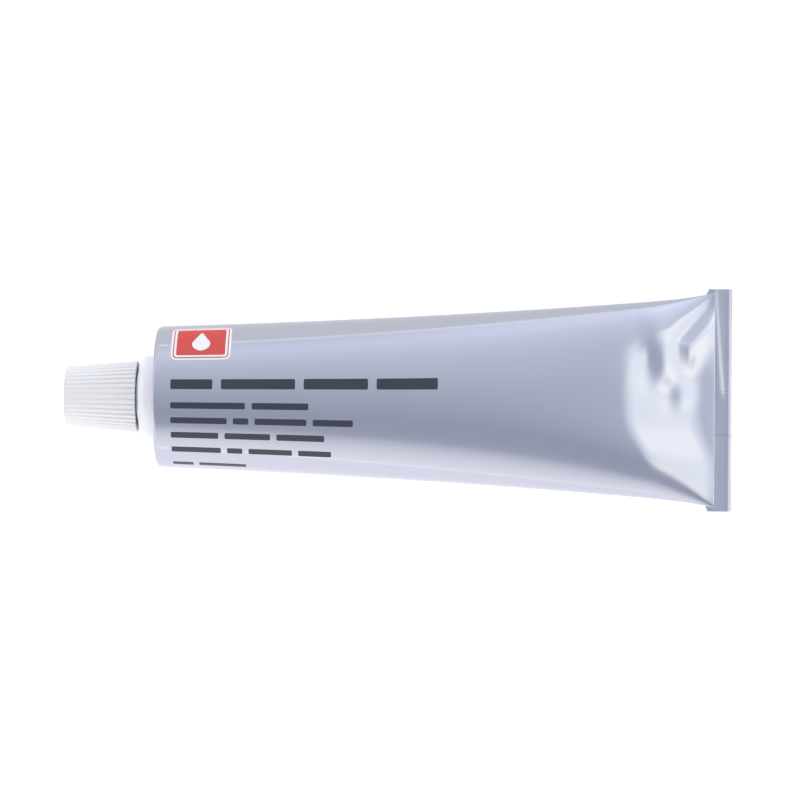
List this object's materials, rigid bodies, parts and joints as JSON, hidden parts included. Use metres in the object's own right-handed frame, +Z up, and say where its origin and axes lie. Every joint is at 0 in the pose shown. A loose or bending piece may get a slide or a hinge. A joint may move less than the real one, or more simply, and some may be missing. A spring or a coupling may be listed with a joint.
{
  "type": "caulk tube",
  "caption": "Collapsible metal sealant tube lying on its belly, round at the shoulder and flattened to a folded tail, with a white collar and a ribbed screw cap that unscrews.",
  "frame": {"origin": "middle of the footprint of the bounding box, on the ground the tube lies on", "axes": "+X along the tube from the cap to the folded tail, +Y across its width, +Z up; the tube's own axis drops 3.9 degrees towards the tail"},
  "size_m": [0.142, 0.0474, 0.0306],
  "materials": {
    "silver_lacquer": "thin aluminium, rolled and printed over a semi-gloss silver lacquer",
    "collar_plastic": "moulded white polyethylene, satin",
    "cap_plastic": "moulded white polyethylene, matt",
    "liner_foam": "soft closed-cell sealing disc, off-white",
    "dark_ink": "printed near-black ink, satin",
    "red_ink": "printed red ink, satin",
    "white_ink": "printed white ink, satin"
  },
  "bodies": {
    "tube": {"tube": "silver_lacquer", "neck_collar": "collar_plastic"},
    "liner": {"cap_liner": "liner_foam"},
    "cap": {"cap": "cap_plastic"}
  },
  "joints": [
    {"name": "cap_lift", "type": "slide", "parent": "tube", "child": "liner", "axis": [-0.9977, 0, 0.068], "range_m": [0, 0.0075]},
    {"name": "cap_turn", "type": "hinge", "parent": "liner", "child": "cap", "pos_m": [-0.05539, 0, 0.016], "axis": [-0.9977, 0, 0.068], "range_deg": [0, 1800]}
  ],
  "couplings": [
    {"joint": "cap_turn", "follows": "cap_lift", "rad_per_m": 4188.8}
  ]
}
